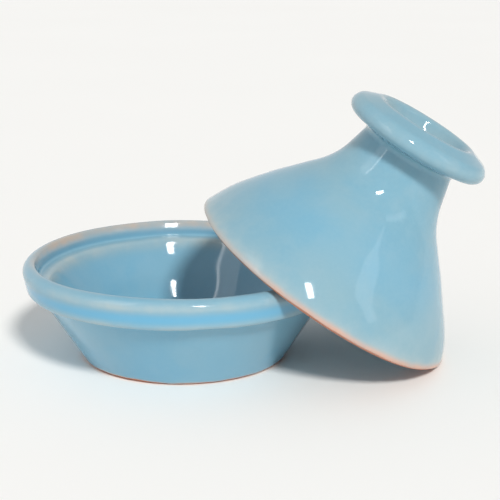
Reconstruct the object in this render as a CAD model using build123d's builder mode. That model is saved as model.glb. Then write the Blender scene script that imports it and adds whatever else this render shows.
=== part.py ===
from build123d import *
from math import atan2, cos, radians, sin, tan
import os

# A small tagine-shaped butter dish in glazed terracotta, in millimetres, +Z up.
# The dish stands at the origin, with the middle of its bare base at z = 0.
# The conical lid is off the dish: its mouth edge stands on the table at one side
# and leans on the dish rim at two places.

# ---- Driving dimensions ------------------------------------------------------

glaze = 0.4                 # thickness of the fired glaze coat

# Dish, bare clay: radii from its own axis and heights above the table
foot_radius = 34.6          # flat base that the dish stands on
foot_bare = 0.8             # height of the bare clay band above the table
wall_top_radius = 49.75     # where the straight wall meets the collar
wall_top_height = 24.2
collar_radius = 53.3        # lower edge of the collar
collar_height = 24.6
rim_radius = 55.0           # the collar flares out to the rim
rim_shoulder_height = 33.2  # outer edge of the rounded rim top
rim_radius_inside = 51.35
rim_height = 33.8           # the inner edge of the rim is the highest line
bevel_radius = 50.05        # the rim slopes in to the upright wall of the gallery
bevel_height = 31.3
gallery_radius = 50.0       # ledge that the closed lid sits on, inside the rim
gallery_height = 28.5
ledge_radius = 45.9         # inner edge of that ledge
ledge_height = 27.9
floor_radius = 30.9
floor_height = 4.6

# Lid, bare clay: radii from its own axis and heights above the plane of its mouth
mouth_radius = 48.95
mouth_round = 1.1           # both corners of the bare mouth edge
mouth_bare = 0.9            # height of the bare clay band at the mouth
mouth_radius_inside = 42.6
shoulder_radius = 45.73     # the cone steepens gently towards the mouth
shoulder_height = 7.27
belly_radius = 33.5         # and swells a little half way up
belly_height = 22.75
neck_base_radius = 19.8     # the cone turns up into the neck
neck_base_height = 38.5
neck_radius = 15.7          # narrowest place, under the lip of the knob
neck_height = 54.5
lip_radius = 26.4           # thick rounded lip of the cupped knob
lip_height = 57.1
lip_radius_top = 23.9
lip_height_top = 61.6
crest_radius = 16.5         # highest ring of the knob
crest_height = 64.5
cup_radius = 14.8           # cup in the top of the knob
cup_height = 60.4
cup_radius_low = 12.4
cup_height_low = 56.0
cup_floor_height = 55.0
lid_wall = 5.0              # thickness of the cone, square to its slope
hollow_radius = 12.8        # inside of the neck
hollow_neck_height = 41.7
hollow_top_radius = 11.6
hollow_height = 50.9

# How the lid leans, with the dish axis as the centre
lid_tilt = 32.9             # lid axis from upright, degrees
lid_turn = -3.9             # direction the lid leans towards, degrees from +X
lid_reach = 47.4            # from the dish axis to the middle of the mouth

# ---- Places worked out from them ---------------------------------------------

tilt = radians(lid_tilt)
turn = radians(lid_turn)
outward = Vector(cos(turn), sin(turn), 0)
up = Vector(0, 0, 1)
lid_up = outward * sin(tilt) + up * cos(tilt)
lid_down_slope = outward * cos(tilt) - up * sin(tilt)
# The outer round of the mouth edge just touches the table.
edge_slope = atan2(shoulder_height, mouth_radius - shoulder_radius)
edge_round_radius = mouth_radius - mouth_round / tan(edge_slope / 2)
mouth_rise = edge_round_radius * sin(tilt) + mouth_round * (1 - cos(tilt))
mouth_centre = outward * lid_reach + up * mouth_rise
lid_section = Plane(
    origin=mouth_centre, x_dir=lid_down_slope, z_dir=lid_down_slope.cross(lid_up)
)
lid_axis = Axis(mouth_centre, lid_up)

# Lower inside corner of the cone, one wall thickness in from the outer slope
slope = Vector(neck_base_radius - shoulder_radius, neck_base_height - shoulder_height)
slope_inward = Vector(-slope.Y, slope.X).normalized()
cone_foot = Vector(shoulder_radius, shoulder_height) + slope_inward * lid_wall

# Larger than any section, for the areas that trim the glaze
section_size = 100

# ---- Sections: radius along X, height along Y --------------------------------

with BuildSketch() as dish_clay:
    with BuildLine():
        FilletPolyline(
            (0, 0),
            (foot_radius, 0),
            (wall_top_radius, wall_top_height),
            (collar_radius, collar_height),
            (rim_radius, rim_shoulder_height),
            (rim_radius_inside, rim_height),
            (bevel_radius, bevel_height),
            (gallery_radius, gallery_height),
            (ledge_radius, ledge_height),
            (floor_radius, floor_height),
            (0, floor_height),
            radius=[0, 1.0, 1.2, 1.5, 2.6, 1.0, 2.5, 1.4, 2.2, 9, 0],
            close=True,
        )
    make_face()

with BuildSketch() as lid_clay:
    with BuildLine():
        FilletPolyline(
            (0, cup_floor_height),
            (cup_radius_low, cup_height_low),
            (cup_radius, cup_height),
            (crest_radius, crest_height),
            (lip_radius_top, lip_height_top),
            (lip_radius, lip_height),
            (neck_radius, neck_height),
            (neck_base_radius, neck_base_height),
            (belly_radius, belly_height),
            (shoulder_radius, shoulder_height),
            (mouth_radius, 0),
            (mouth_radius_inside, 0),
            (cone_foot.X, cone_foot.Y),
            (hollow_radius, hollow_neck_height),
            (hollow_top_radius, hollow_height),
            (0, hollow_height),
            radius=[0, 8, 15, 2, 3.2, 2.6, 2.4, 28, 150, 46, mouth_round, mouth_round, 6, 12, 5, 0],
            close=True,
        )
    make_face()

# The glaze follows the clay all round, down to the bare band of each edge.
with BuildSketch() as dish_coat:
    add(dish_clay.sketch)
    offset(amount=glaze)
    add(dish_clay.sketch, mode=Mode.SUBTRACT)
    with Locations((section_size / 2, foot_bare + section_size / 2)):
        Rectangle(section_size, section_size, mode=Mode.INTERSECT)

with BuildSketch() as lid_coat:
    add(lid_clay.sketch)
    offset(amount=glaze)
    add(lid_clay.sketch, mode=Mode.SUBTRACT)
    with Locations((section_size / 2, mouth_bare + section_size / 2)):
        Rectangle(section_size, section_size, mode=Mode.INTERSECT)
lining_section, outer_section = lid_coat.sketch.faces().sort_by(SortBy.AREA)

# ---- Dish --------------------------------------------------------------------

with BuildPart() as dish_body:
    with BuildSketch(Plane.XZ):
        add(dish_clay.sketch)
    revolve(axis=Axis.Z)

with BuildPart() as dish_glaze:
    with BuildSketch(Plane.XZ):
        add(dish_coat.sketch)
    revolve(axis=Axis.Z)

# ---- Lid ---------------------------------------------------------------------

with BuildPart() as lid_body:
    with BuildSketch(lid_section):
        add(lid_clay.sketch)
    revolve(axis=lid_axis)

with BuildPart() as lid_glaze:
    with BuildSketch(lid_section):
        add(outer_section)
    revolve(axis=lid_axis)

with BuildPart() as lid_lining:
    with BuildSketch(lid_section):
        add(lining_section)
    revolve(axis=lid_axis)

# ---- Labels and files --------------------------------------------------------

dish_body.part.label = "dish_body"
dish_glaze.part.label = "dish_glaze"
lid_body.part.label = "lid_body"
lid_glaze.part.label = "lid_glaze"
lid_lining.part.label = "lid_lining"

os.makedirs("parts", exist_ok=True)
export_step(dish_body.part, "parts/dish_body.step")
export_step(dish_glaze.part, "parts/dish_glaze.step")
export_step(lid_body.part, "parts/lid_body.step")
export_step(lid_glaze.part, "parts/lid_glaze.step")
export_step(lid_lining.part, "parts/lid_lining.step")
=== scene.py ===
import math

import bpy
import numpy as np
from mathutils import Matrix, Vector


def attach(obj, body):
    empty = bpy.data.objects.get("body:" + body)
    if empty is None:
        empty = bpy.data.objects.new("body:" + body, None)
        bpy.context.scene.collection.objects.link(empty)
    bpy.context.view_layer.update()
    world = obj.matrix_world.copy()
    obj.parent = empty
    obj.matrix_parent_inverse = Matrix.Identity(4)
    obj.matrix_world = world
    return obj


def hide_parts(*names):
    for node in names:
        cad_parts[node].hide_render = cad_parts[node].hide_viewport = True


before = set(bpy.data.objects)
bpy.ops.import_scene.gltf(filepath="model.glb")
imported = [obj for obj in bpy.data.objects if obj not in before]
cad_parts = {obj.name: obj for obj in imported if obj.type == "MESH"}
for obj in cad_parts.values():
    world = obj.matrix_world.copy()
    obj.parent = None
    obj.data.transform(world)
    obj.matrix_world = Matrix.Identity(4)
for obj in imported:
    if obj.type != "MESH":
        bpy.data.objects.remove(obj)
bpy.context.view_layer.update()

# A glazed terracotta butter dish with its cone-shaped lid off. Outlines are in millimetres and repeat those
# of the CAD: each corner is (radius, height, fillet radius). Meshes are in metres, in the frame's own axes.

MM = 0.001
SEGMENTS = 288               # round the axis of each pot
CLAY_STEP = 1.2              # between the rings of a clay body, mm
FINE_STEP = 0.3              # between the points of an outline that glaze follows, mm
GLAZE_STEP = 0.4             # between the rings of a glaze coat, mm
LARGEST_TURN = 0.12          # between neighbouring points of a fillet, radians
FEWEST_STEPS = 5             # in a fillet
GLAZE = 0.4                  # thickness of the fired coat, mm
ROLL = 0.5                   # width of the rounded roll that ends the coat, mm
BEAD = 0.04                  # how much the coat thickens just behind the roll, mm
SUNK = 0.08                  # the coat's hidden back lies this far inside the clay, mm

DISH_OUTLINE = [
    (0, 0, 0), (34.6, 0, 1.0), (49.75, 24.2, 1.2), (53.3, 24.6, 1.5), (55.0, 33.2, 2.6), (51.35, 33.8, 1.0),
    (50.05, 31.3, 2.5), (50.0, 28.5, 1.4), (45.9, 27.9, 2.2), (30.9, 4.6, 9), (0, 4.6, 0),
]
LID_OUTLINE = [
    (0, 50.9, 0), (11.6, 50.9, 5), (12.8, 41.7, 12), (41.86, 4.11, 6), (42.6, 0, 1.1), (48.95, 0, 1.1),
    (45.73, 7.27, 46), (33.5, 22.75, 150), (19.8, 38.5, 28), (15.7, 54.5, 2.4), (26.4, 57.1, 2.6),
    (23.9, 61.6, 3.2), (16.5, 64.5, 2), (14.8, 60.4, 15), (12.4, 56.0, 8), (0, 55.0, 0),
]
DISH_BARE = 0.5              # bare clay above the table
LID_BARE = 0.6               # bare clay above the mouth

# How the lid leans: the same reach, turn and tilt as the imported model
LID_TILT = math.radians(32.9)
LID_TURN = math.radians(-3.9)
LID_REACH = 47.4             # from the dish axis to the middle of the mouth, mm
MOUTH_RISE = 25.85           # from the table to the middle of the mouth, mm


# ---- Profiles ----------------------------------------------------------------

def unit(v):
    return v / np.linalg.norm(v)


def rounded_path(outline, step):
    """The outline with its fillets, as points no further apart than step."""
    corners = [np.array(c[:2], float) for c in outline]
    knots = [corners[0]]
    for before, corner, after, (_, _, fillet) in zip(corners, corners[1:], corners[2:], outline[1:]):
        back, ahead = unit(before - corner), unit(after - corner)
        half = math.acos(np.clip(back @ ahead, -1, 1)) / 2
        centre = corner + unit(back + ahead) * fillet / math.sin(half)
        start, end = corner + back * fillet / math.tan(half), corner + ahead * fillet / math.tan(half)
        first, last = start - centre, end - centre
        sweep = math.atan2(first[0] * last[1] - first[1] * last[0], first @ last)
        steps_per_radian = max(fillet / step, 1 / LARGEST_TURN)
        count = max(FEWEST_STEPS, math.ceil(abs(sweep) * steps_per_radian))
        for k in range(count + 1):
            a = sweep * k / count
            knots.append(centre + np.array([
                first[0] * math.cos(a) - first[1] * math.sin(a),
                first[0] * math.sin(a) + first[1] * math.cos(a),
            ]))
    knots.append(corners[-1])
    path = [knots[0]]
    for a, b in zip(knots, knots[1:]):
        count = max(1, math.ceil(np.linalg.norm(b - a) / step))
        path += [a + (b - a) * k / count for k in range(1, count + 1)]
    path = np.array(path)
    return path[np.append(True, np.linalg.norm(np.diff(path, axis=0), axis=1) > 1e-4)]


class Outline:
    """A path with its arc length and its outward direction, to be read at any distance along it."""

    def __init__(self, outline, step):
        self.points = rounded_path(outline, step)
        self.along = np.append(0, np.cumsum(np.linalg.norm(np.diff(self.points, axis=0), axis=1)))
        run = np.gradient(self.points, axis=0)
        out = np.stack([run[:, 1], -run[:, 0]], 1)
        self.out = out / np.linalg.norm(out, axis=1)[:, None]
        self.length = self.along[-1]

    def place(self, s):
        return [np.interp(s, self.along, self.points[:, k]) for k in (0, 1)]

    def outward(self, s):
        n = [np.interp(s, self.along, self.out[:, k]) for k in (0, 1)]
        size = np.hypot(*n)
        return n[0] / size, n[1] / size

    def at(self, radius, height):
        """Distance along the path of the place nearest to this radius and height."""
        return self.along[np.argmin(np.hypot(self.points[:, 0] - radius, self.points[:, 1] - height))]


def waves(angle, *terms):
    """Slow unevenness round the pot: each term is (size, turns, phase)."""
    return sum(size * np.cos(turns * angle + phase) for size, turns, phase in terms)


def smooth(x, low, high):
    t = np.clip((x - low) / (high - low), 0, 1)
    return t * t * (3 - 2 * t)


def hump(x, middle, width):
    return np.exp(-((x - middle) / width) ** 2)


# ---- Meshes ------------------------------------------------------------------

def lathe(name, radius, height, warp, values):
    """A closed mesh from grids of radius and height, angle by station. The first and the last station are on
    the axis. Each grid in values becomes an attribute of the points."""
    turns, stations = radius.shape
    angle = np.arange(turns) * 2 * math.pi / turns
    x, y = radius * np.cos(angle)[:, None], radius * np.sin(angle)[:, None]
    ring = np.stack([x, y, height], 2)[:, 1:-1].reshape(-1, 3)
    ends = [[0, 0, height[0, 0]], [0, 0, height[0, -1]]]
    points = warp(np.concatenate([ring, ends]))
    inner = stations - 2
    first, last = turns * inner, turns * inner + 1
    faces = []
    for i in range(turns):
        a, b = i * inner, (i + 1) % turns * inner
        faces += [(a + j, b + j, b + j + 1, a + j + 1) for j in range(inner - 1)]
        faces += [(first, b, a), (last, a + inner - 1, b + inner - 1)]
    mesh = bpy.data.meshes.new(name)
    mesh.from_pydata(points.tolist(), [], faces)
    for label, grid in values.items():
        layer = mesh.attributes.new(label, "FLOAT", "POINT")
        flat = np.concatenate([grid[:, 1:-1].reshape(-1), [grid[:, 0].mean(), grid[:, -1].mean()]])
        layer.data.foreach_set("value", flat.astype(np.float32))
    mesh.shade_smooth()
    a, b, c = (points[[f[k] for f in faces]] for k in range(3))
    if np.einsum("ij,ij->i", a, np.cross(b, c)).sum() < 0:
        mesh.flip_normals()
    mesh.update()
    piece = bpy.data.objects.new(name, mesh)
    bpy.context.scene.collection.objects.link(piece)
    return piece


def turned_body(name, outline, warp):
    """The whole clay body, closed, turned from its outline."""
    path = Outline(outline, CLAY_STEP)
    radius, height = path.place(np.tile(path.along, (SEGMENTS, 1)))
    return lathe(name, radius, height, warp, {})


def ring_depths(path, edge, pole):
    """Distances from the glaze line to each ring of a coat. The rings are close together in the rounded roll
    at the line, and past it each point of the outline has one too."""
    roll = [0, 0.02, 0.05, 0.1, 0.17, 0.26, 0.36, 0.48, 0.62, 0.8, 1.0, 1.25, 1.55]
    past_roll = 2
    smallest_gap = 0.018
    reach = abs(pole - edge)
    even = np.arange(past_roll, reach - 0.3, GLAZE_STEP)
    covered = (path.along > min(edge, pole) + past_roll) & (path.along < max(edge, pole))
    depth = np.unique(np.concatenate([roll, even, [reach], np.abs(path.along[covered] - edge)]))
    return depth[np.append(True, np.diff(depth) > smallest_gap)]


def glaze_coat(name, outline, warp, edge, pole, line, marks, ripple=None):
    """A glaze skin from its wavy lower line, at distance edge along the outline, up to the axis, at distance
    pole. It ends in a rounded roll at the line, and its hidden back lies just inside the clay."""
    path = Outline(outline, FINE_STEP)
    depth = ring_depths(path, edge, pole)
    angle = np.arange(SEGMENTS) * 2 * math.pi / SEGMENTS
    shift = waves(angle, *line)[:, None] * np.exp(-depth / 3)[None]
    way = 1 if pole > edge else -1
    d = np.tile(depth, (SEGMENTS, 1))
    s = edge + way * (d + shift)
    s[:, -1] = pole

    # The level of the face above the clay: a quarter round from the back to the full coat, then the bead.
    rise = np.clip(depth / ROLL, 0, 1)
    thick = GLAZE * np.sqrt(1 - (1 - rise) ** 2) + BEAD * hump(depth, 1.0, 0.9)
    thick = thick * (1 + SUNK / GLAZE) - SUNK * (1 - rise) ** 2 - SUNK * rise
    level = np.tile(thick, (SEGMENTS, 1))
    level[:, 0] = -SUNK
    if ripple is not None:
        level = level + ripple(s, angle[:, None], path)

    radius, height = path.place(s)
    out_r, out_z = path.outward(s)
    face_r, face_z = radius + out_r * level, height + out_z * level
    back_r, back_z = radius - out_r * SUNK, height - out_z * SUNK
    face_r[:, -1] = back_r[:, -1] = 0

    # The face from the axis to the line, then the back to the axis again with a third of the rings.
    pick = np.append(np.arange(1, len(depth) - 1, 3), len(depth) - 1)
    radius = np.clip(np.concatenate([face_r[:, ::-1], back_r[:, pick]], 1), 0, None)
    height = np.concatenate([face_z[:, ::-1], back_z[:, pick]], 1)
    values = {}
    for label, paint in marks.items():
        shown = np.broadcast_to(paint(d, s, angle[:, None]), d.shape)
        values[label] = np.concatenate([shown[:, ::-1], shown[:, pick]], 1)
    return lathe(name, radius, height, warp, values)


# ---- The hand of the potter --------------------------------------------------

def dish_warp(p):
    """A thrown dish is never quite round: its rim wanders by up to a quarter of a millimetre."""
    x, y, z = p.T
    angle = np.arctan2(y, x)
    open_part = smooth(z, 4, 30)
    swell = 1 + open_part * waves(angle, (0.0012, 2, 0.4), (0.0007, 3, 2.1), (0.0004, 5, 0.9))
    lift = smooth(z, 18, 34) * waves(angle, (0.12, 2, 1.9), (0.08, 3, 0.2), (0.04, 7, 1.0))
    return np.stack([x * swell, y * swell, z + lift], 1) * MM


def lid_matrix():
    """From the lid's own axes, with its mouth at height 0, to its place leaning on the dish, in mm."""
    outward = Vector((math.cos(LID_TURN), math.sin(LID_TURN), 0))
    up = Vector((0, 0, 1))
    axis = outward * math.sin(LID_TILT) + up * math.cos(LID_TILT)
    down_slope = outward * math.cos(LID_TILT) - up * math.sin(LID_TILT)
    across = axis.cross(down_slope)
    place = Matrix((down_slope, across, axis)).transposed().to_4x4()
    place.translation = outward * LID_REACH + up * MOUTH_RISE
    return place


LID_PLACE = np.array(lid_matrix())
LID_FRONT = -0.9             # between the lid's lowest point and the camera, round its axis, radians
MOUTH_CHANGE = 0.5           # dip of the mouth at the front and its pull inwards at the high end, mm
CONE_SHIFT = -0.55           # the cone leans this far towards the high side of the lid, mm
KNOB_SHIFT = -0.5            # and the neck and the knob this much further, mm
KNOB_TILT = math.radians(2.3)   # the knob tips towards the high side
KNOB_NOD = math.radians(1.9)    # and its far side sits a little higher
KNOB_PIVOT = 57.0            # height on the lid axis that the knob tips about, mm


def lid_warp(p):
    """The cone wanders slightly, its mouth dips at the front and is pulled in at the high end, and the neck
    and the knob lean a little to one side."""
    x, y, z = p.T
    angle = np.arctan2(y, x)
    cone_part = smooth(z, 8, 24)
    swell = 1 + cone_part * waves(angle, (0.004, 2, 1.1), (0.002, 3, 0.5))
    x, y = x * swell, y * swell
    near_mouth = 1 - smooth(z, 3, 15)
    x = x + MOUTH_CHANGE * near_mouth * hump(np.abs(angle), math.pi, 0.7)
    z = z - MOUTH_CHANGE * near_mouth * hump(angle, LID_FRONT, 0.5)
    lean = KNOB_TILT * smooth(z, 30, 56)
    above = z - KNOB_PIVOT
    z = KNOB_PIVOT + x * np.sin(lean) + above * np.cos(lean)
    x = x * np.cos(lean) - above * np.sin(lean)
    x = x + CONE_SHIFT * smooth(z, 4, 22) + KNOB_SHIFT * smooth(z, 26, 54)
    z = z + y * math.tan(KNOB_NOD) * smooth(z, 30, 56)
    local = np.stack([x, y, z, np.ones_like(x)], 1)
    return (local @ LID_PLACE.T)[:, :3] * MM


# ---- Materials ---------------------------------------------------------------

class Nodes:
    """A material and short ways to add the shader nodes that it needs."""

    def __init__(self, name):
        self.material = bpy.data.materials.new(name)
        self.material.use_nodes = True
        self.tree = self.material.node_tree
        self.shader = self.tree.nodes["Principled BSDF"]
        self.where = self.tree.nodes.new("ShaderNodeTexCoord").outputs["Object"]

    def link(self, source, socket):
        self.tree.links.new(source, socket)

    def noise(self, scale, detail=2.0, rough=0.5, distortion=0.0):
        n = self.tree.nodes.new("ShaderNodeTexNoise")
        n.inputs["Scale"].default_value = scale
        n.inputs["Detail"].default_value = detail
        n.inputs["Roughness"].default_value = rough
        n.inputs["Distortion"].default_value = distortion
        self.link(self.where, n.inputs["Vector"])
        return n.outputs["Fac"]

    def spread(self, source, low, high, to_low=0.0, to_high=1.0):
        n = self.tree.nodes.new("ShaderNodeMapRange")
        n.interpolation_type = "SMOOTHSTEP"
        for label, v in (("From Min", low), ("From Max", high), ("To Min", to_low), ("To Max", to_high)):
            n.inputs[label].default_value = v
        self.link(source, n.inputs["Value"])
        return n.outputs["Result"]

    def product(self, a, b):
        n = self.tree.nodes.new("ShaderNodeMath")
        n.operation = "MULTIPLY"
        n.use_clamp = True
        self.link(a, n.inputs[0])
        self.link(b, n.inputs[1])
        return n.outputs[0]

    def mix(self, share, a, b):
        """From a to b as share goes from 0 to 1, where a and b are colours or the outputs of other nodes."""
        n = self.tree.nodes.new("ShaderNodeMix")
        n.data_type = "RGBA"
        self.link(share, n.inputs["Factor"])
        for socket, v in ((n.inputs[6], a), (n.inputs[7], b)):
            if isinstance(v, tuple):
                socket.default_value = (*v, 1)
            else:
                self.link(v, socket)
        return n.outputs[2]

    def value(self, label):
        n = self.tree.nodes.new("ShaderNodeAttribute")
        n.attribute_name = label
        return n.outputs["Fac"]

    def bump(self, height, distance, under=None):
        n = self.tree.nodes.new("ShaderNodeBump")
        n.inputs["Strength"].default_value = 1.0
        n.inputs["Distance"].default_value = distance
        self.link(height, n.inputs["Height"])
        if under is not None:
            self.link(under, n.inputs["Normal"])
        return n.outputs["Normal"]


def srgb(*levels):
    """The linear colour of red, green and blue levels from 0 to 255."""
    shares = [level / 255 for level in levels]
    return tuple(c / 12.92 if c <= 0.04045 else ((c + 0.055) / 1.055) ** 2.4 for c in shares)


SKY_BLUE = srgb(120, 165, 184)
GREY_BLUE = srgb(132, 168, 181)
MILKY_BLUE = srgb(140, 172, 185)
FAINT_BLUE = srgb(150, 180, 190)
DEEP_BLUE = srgb(97, 171, 208)
PALE_GREY = srgb(166, 182, 184)
TAN = srgb(186, 172, 160)
CLAY_UNDER_GLAZE = srgb(214, 160, 136)
CLAY = srgb(186, 122, 98)
LIGHT_CLAY = srgb(200, 140, 114)
GRIT = srgb(160, 98, 76)
PAPER = srgb(248, 247, 244)
LIGHT_PAPER = srgb(251, 250, 247)


def glaze_material(name):
    """Sky blue glaze, deeper where it is thick, breaking to pale grey, tan and then clay colour where it is
    thin along the edges."""
    m = Nodes(name)
    cloud = m.noise(34, 3.0, 0.55, 0.4)
    patch = m.noise(110, 3.0, 0.6)
    grain = m.noise(900, 2.0, 0.6)
    blue = m.mix(m.spread(cloud, 0.36, 0.66), SKY_BLUE, GREY_BLUE)
    blue = m.mix(m.spread(patch, 0.42, 0.75, 0.0, 0.35), blue, MILKY_BLUE)
    blue = m.mix(m.spread(grain, 0.35, 0.75, 0.0, 0.10), blue, FAINT_BLUE)
    ragged = m.spread(patch, 0.25, 0.75, 0.65, 1.35)
    colour = m.mix(m.value("deep"), blue, DEEP_BLUE)
    for label, thin_colour in (("pale", PALE_GREY), ("tan", TAN), ("clay", CLAY_UNDER_GLAZE)):
        colour = m.mix(m.product(m.value(label), ragged), colour, thin_colour)
    m.link(colour, m.shader.inputs["Base Color"])
    m.link(m.spread(patch, 0.3, 0.8, 0.05, 0.09), m.shader.inputs["Roughness"])
    m.shader.inputs["IOR"].default_value = 1.5
    slow = m.bump(m.noise(60, 1.0, 0.4), 0.00002)
    m.link(m.bump(m.noise(520, 2.0, 0.5), 0.000002, slow), m.shader.inputs["Normal"])
    return m.material


def clay_material(name):
    """Bare fired terracotta: warm, matt and slightly gritty."""
    m = Nodes(name)
    cloud = m.noise(60, 3.0, 0.6)
    grit = m.noise(1400, 3.0, 0.65)
    colour = m.mix(m.spread(cloud, 0.3, 0.7), CLAY, LIGHT_CLAY)
    colour = m.mix(m.spread(grit, 0.5, 0.8, 0.0, 0.5), colour, GRIT)
    m.link(colour, m.shader.inputs["Base Color"])
    m.link(m.spread(grit, 0.3, 0.7, 0.72, 0.9), m.shader.inputs["Roughness"])
    m.link(m.bump(grit, 0.00006), m.shader.inputs["Normal"])
    return m.material


blue_glaze = glaze_material("blue_glaze")
terracotta = clay_material("terracotta")


# ---- The dish ----------------------------------------------------------------

dish_path = Outline(DISH_OUTLINE, FINE_STEP)


def dish_marks():
    """How thin or thick the dish glaze looks, by distance d from its line, distance s along the outline and
    angle a round the axis."""
    crest, brow = dish_path.at(51.4, 33.6), dish_path.at(54.9, 31.4)
    under, ledge, gallery = dish_path.at(53.2, 25.0), dish_path.at(46.2, 27.9), dish_path.at(50.1, 28.9)

    def tan(d, s, a):
        back = 0.5 + 0.5 * np.sin(a - 0.2)
        bevel = 0.75 * hump(s, crest + 0.6, 1.9) * smooth(back, 0.15, 0.8)
        return bevel * (1 + waves(a, (0.12, 5, 0.3), (0.1, 11, 1.9))) + 0.6 * hump(d, 0.2, 0.7)

    def pale(d, s, a):
        uneven = 1 + waves(a, (0.22, 4, 1.1), (0.16, 9, 0.2), (0.12, 17, 2.2))
        front = 0.25 + 0.75 * smooth(np.cos(a + 0.9), -0.6, 0.4)
        collar = (0.5 * hump(s, brow, 1.4) + 0.45 * hump(s, under, 1.2)) * front
        return (collar + 0.6 * hump(s, ledge + 0.6, 2.4) + 0.3 * hump(s, crest, 1.0)) * uneven

    def clay(d, s, a):
        return 0.5 * hump(d, 0.0, 0.35)

    def deep(d, s, a):
        outer_wall = 0.12 * (1 - smooth(s, under - 1, under + 1))
        inner_wall = 0.12 * smooth(s, ledge + 2, ledge + 6)
        collar = 0.6 * hump(s, (brow + under) / 2 - 0.2, 2.2)
        return outer_wall + inner_wall + 0.2 + collar + 0.25 * hump(s, gallery - 1.2, 1.6)

    return {"pale": pale, "tan": tan, "clay": clay, "deep": deep}


def finger_swells(s, a, path):
    """Two slow swells that the potter's fingers left in the inner wall."""
    top, foot = path.at(45.5, 25.6), path.at(33, 6)
    size, length = 0.12, 16.6
    drift = 0.5 * np.sin((a - 1.8) * 6) * hump(a, 1.8, 0.4)
    swell = -size * np.sin((s - top) * 2 * math.pi / length + drift) * (1 - 0.5 * hump(a, 1.2, 0.35))
    swell = swell * smooth(s, top - 3, top + 1) * (1 - smooth(s, foot - 3, foot + 2))
    return swell * (1 + waves(a, (0.2, 3, 0.6)))


def dish_ripple(s, a, path):
    """The finger swells, a rim that is a little fuller on its inner side at the back, and a collar that is a
    little flatter at the front."""
    change = 0.3
    back, front = hump(a, 1.76, 0.16), hump(a, 4.90, 0.13)
    top, crest, wall = path.at(45.5, 25.6), path.at(52, 33.9), path.at(50, 24.5)
    over_crest = smooth(s, crest - 1.5, crest + 1.5)
    rim = over_crest * (1 - smooth(s, top - 4, top + 1))
    outside = smooth(s, wall - 2, wall + 4) * (1 - over_crest)
    return finger_swells(s, a, path) + change * back * rim - change * front * outside


above_bare = (dish_path.points[:, 1] >= DISH_BARE) & (dish_path.points[:, 0] > 30)
dish_line = dish_path.along[np.argmax(above_bare)]

dish_clay = turned_body("dish_clay", DISH_OUTLINE, dish_warp)
dish_coat = glaze_coat(
    "dish_glaze_coat", DISH_OUTLINE, dish_warp, dish_line, dish_path.length,
    [(0.22, 3, 0.4), (0.16, 7, 1.9), (0.10, 13, 0.2), (0.06, 29, 1.0)], dish_marks(), ripple=dish_ripple,
)


# ---- The lid -----------------------------------------------------------------

lid_path = Outline(LID_OUTLINE, FINE_STEP)


def lid_marks():
    """How thin or thick the lid glaze looks, with the same d, s and a: thin in a wide soft band at the mouth
    and in narrow bands on the knob, and thick half way up the cone."""
    crest, lip, cup = lid_path.at(17.4, 63.9), lid_path.at(25.2, 59), lid_path.at(14.8, 60.4)

    def front(a):
        return 0.5 + 0.5 * np.cos(a - LID_FRONT)

    def tan(d, s, a):
        return 0.75 * hump(d, 0.0, 1.4 + 0.2 * front(a)) + 0.06 * hump(s, crest, 1.0)

    def pale(d, s, a):
        uneven = 1 + waves(a, (0.2, 3, 0.4), (0.15, 7, 1.0))
        mouth = 0.5 * hump(d, 0.5, 3.5) * uneven + 0.22 * (1 - 0.7 * front(a)) * hump(d, 3, 9)
        knob = 0.25 * hump(s, crest, 1.0) + 0.15 * hump(s, lip, 3.0) + 0.35 * hump(s, cup + 1, 4)
        return mouth + knob

    def clay(d, s, a):
        return 0.6 * smooth(front(a), 0.4, 0.95) * hump(d, 0.3, 1.1)

    def deep(d, s, a):
        return 0.2 * hump(d, 26, 12)

    return {"pale": pale, "tan": tan, "clay": clay, "deep": deep}


bare = (lid_path.points[:, 1] < LID_BARE) & (lid_path.points[:, 0] > 30)
lining_line = lid_path.along[np.argmax(bare)]
outer_line = lid_path.along[len(bare) - 1 - np.argmax(bare[::-1])]

lid_clay = turned_body("lid_clay", LID_OUTLINE, lid_warp)
lid_coat = glaze_coat(
    "lid_glaze_coat", LID_OUTLINE, lid_warp, outer_line, lid_path.length,
    [(0.3, 1, 0.9), (0.1, 2, 0.4), (0.1, 5, 1.9), (0.06, 11, 0.2), (0.04, 23, 1.0)], lid_marks(),
)
lid_lining = glaze_coat(
    "lid_glaze_lining", LID_OUTLINE, lid_warp, lining_line, 0.0,
    [(0.3, 3, 1.4), (0.2, 6, 0.9), (0.12, 13, 2.2)], lid_marks(),
)

for piece, body, node, slot, finish in (
    (dish_clay, "dish", "dish_body", "terracotta", terracotta),
    (dish_coat, "dish", "dish_glaze", "blue_glaze", blue_glaze),
    (lid_clay, "lid", "lid_body", "terracotta", terracotta),
    (lid_coat, "lid", "lid_glaze", "blue_glaze", blue_glaze),
    (lid_lining, "lid", "lid_lining", "blue_glaze", blue_glaze),
):
    piece.data.materials.append(finish)
    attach(piece, body)
    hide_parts(node)

# ---- Floor, light and camera -------------------------------------------------

bpy.ops.mesh.primitive_plane_add(size=12, location=(0, 0, 0))
floor = bpy.context.object
floor.name = "floor"
paper = Nodes("paper")
paper.link(paper.mix(paper.noise(3), PAPER, LIGHT_PAPER), paper.shader.inputs["Base Color"])
paper.shader.inputs["Roughness"].default_value = 0.75
paper.shader.inputs["Specular IOR Level"].default_value = 0.15
floor.data.materials.append(paper.material)

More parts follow.
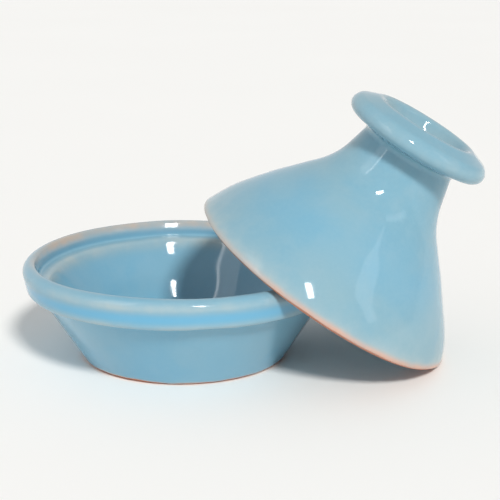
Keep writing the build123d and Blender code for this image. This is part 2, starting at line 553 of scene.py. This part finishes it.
# The sky is brightest low on the left and dimmest overhead.
scene = bpy.context.scene
world = bpy.data.worlds.new("studio")
scene.world = world
world.use_nodes = True
sky = world.node_tree
direction = sky.nodes.new("ShaderNodeTexCoord").outputs["Generated"]
facing = sky.nodes.new("ShaderNodeVectorMath")
facing.operation = "DOT_PRODUCT"
facing.inputs[1].default_value = (-0.42, 0.15, -0.8)
sky.links.new(direction, facing.inputs[0])
glow = sky.nodes.new("ShaderNodeMapRange")
glow.inputs["From Min"].default_value = -0.8
glow.inputs["From Max"].default_value = 0.4
glow.inputs["To Min"].default_value = 0.34
glow.inputs["To Max"].default_value = 1.0
sky.links.new(facing.outputs["Value"], glow.inputs["Value"])
sky.links.new(glow.outputs["Result"], sky.nodes["Background"].inputs["Strength"])
sky.nodes["Background"].inputs["Color"].default_value = (0.97, 0.985, 1.0, 1)

LIGHT_TARGET = Vector((0.03, -0.01, 0.04))   # between the two pots, metres
LIGHT_DISTANCE = 2.0                         # from the target, metres


def aimed(name, kind, azimuth, elevation):
    """A light that shines at the target from an azimuth (0 = from the camera's side, 90 = from the right)."""
    light = bpy.data.objects.new(name, bpy.data.lights.new(name, kind))
    a, e = math.radians(azimuth), math.radians(elevation)
    back = Vector((math.sin(a) * math.cos(e), -math.cos(a) * math.cos(e), math.sin(e)))
    light.location = LIGHT_TARGET + back * LIGHT_DISTANCE
    light.rotation_euler = back.to_track_quat("Z", "Y").to_euler()
    scene.collection.objects.link(light)
    return light


def softbox(name, azimuth, elevation, wide, tall, radiance):
    """A panel of light that is seen only as a reflection, its size given as angles seen from the target."""
    light = aimed(name, "AREA", azimuth, elevation)
    light.data.shape = "RECTANGLE"
    light.data.size = 2 * LIGHT_DISTANCE * math.tan(math.radians(wide / 2))
    light.data.size_y = 2 * LIGHT_DISTANCE * math.tan(math.radians(tall / 2))
    light.data.energy = radiance * math.pi * light.data.size * light.data.size_y
    light.visible_diffuse = False


key = aimed("key", "SUN", 18.5, 41)
key.data.energy = 2.6
key.data.angle = math.radians(10)
key.data.color = (1.0, 0.985, 0.96)
key.visible_glossy = False

# Azimuth, elevation, width and height are in degrees.
for name, azimuth, elevation, wide, tall, radiance in (
    ("key_box", 16.5, 42, 4.2, 11, 45),
    ("left_strip", -43, 38, 2.4, 36, 3.5),
    ("left_panel", -55, 40, 20, 40, 1.0),
    ("right_panel", 62, 24, 9, 26, 1.2),
):
    softbox(name, azimuth, elevation, wide, tall, radiance)

LOOKS_DOWN = 14.649          # camera's axis below level, degrees
camera_data = bpy.data.cameras.new("camera")
camera_data.sensor_width = 36
camera_data.lens = 90
camera = bpy.data.objects.new("camera", camera_data)
camera.location = (0.02258, -0.41536, 0.14456)
camera.rotation_euler = (math.radians(90 - LOOKS_DOWN), 0, 0)
scene.collection.objects.link(camera)
scene.camera = camera
scene.view_settings.view_transform = "Standard"

# A soft shoulder, as a camera gives: paper white stops short of full white, and only highlights go past it.
scene.view_settings.use_curve_mapping = True
shoulder = scene.view_settings.curve_mapping
shoulder.use_clip = False
shoulder.extend = "EXTRAPOLATED"
for input_level, output_level in ((0.62, 0.62), (0.86, 0.85), (0.97, 0.94)):
    shoulder.curves[3].points.new(input_level, output_level)
shoulder.curves[3].points[-1].location = (1.0, 0.96)
shoulder.update()
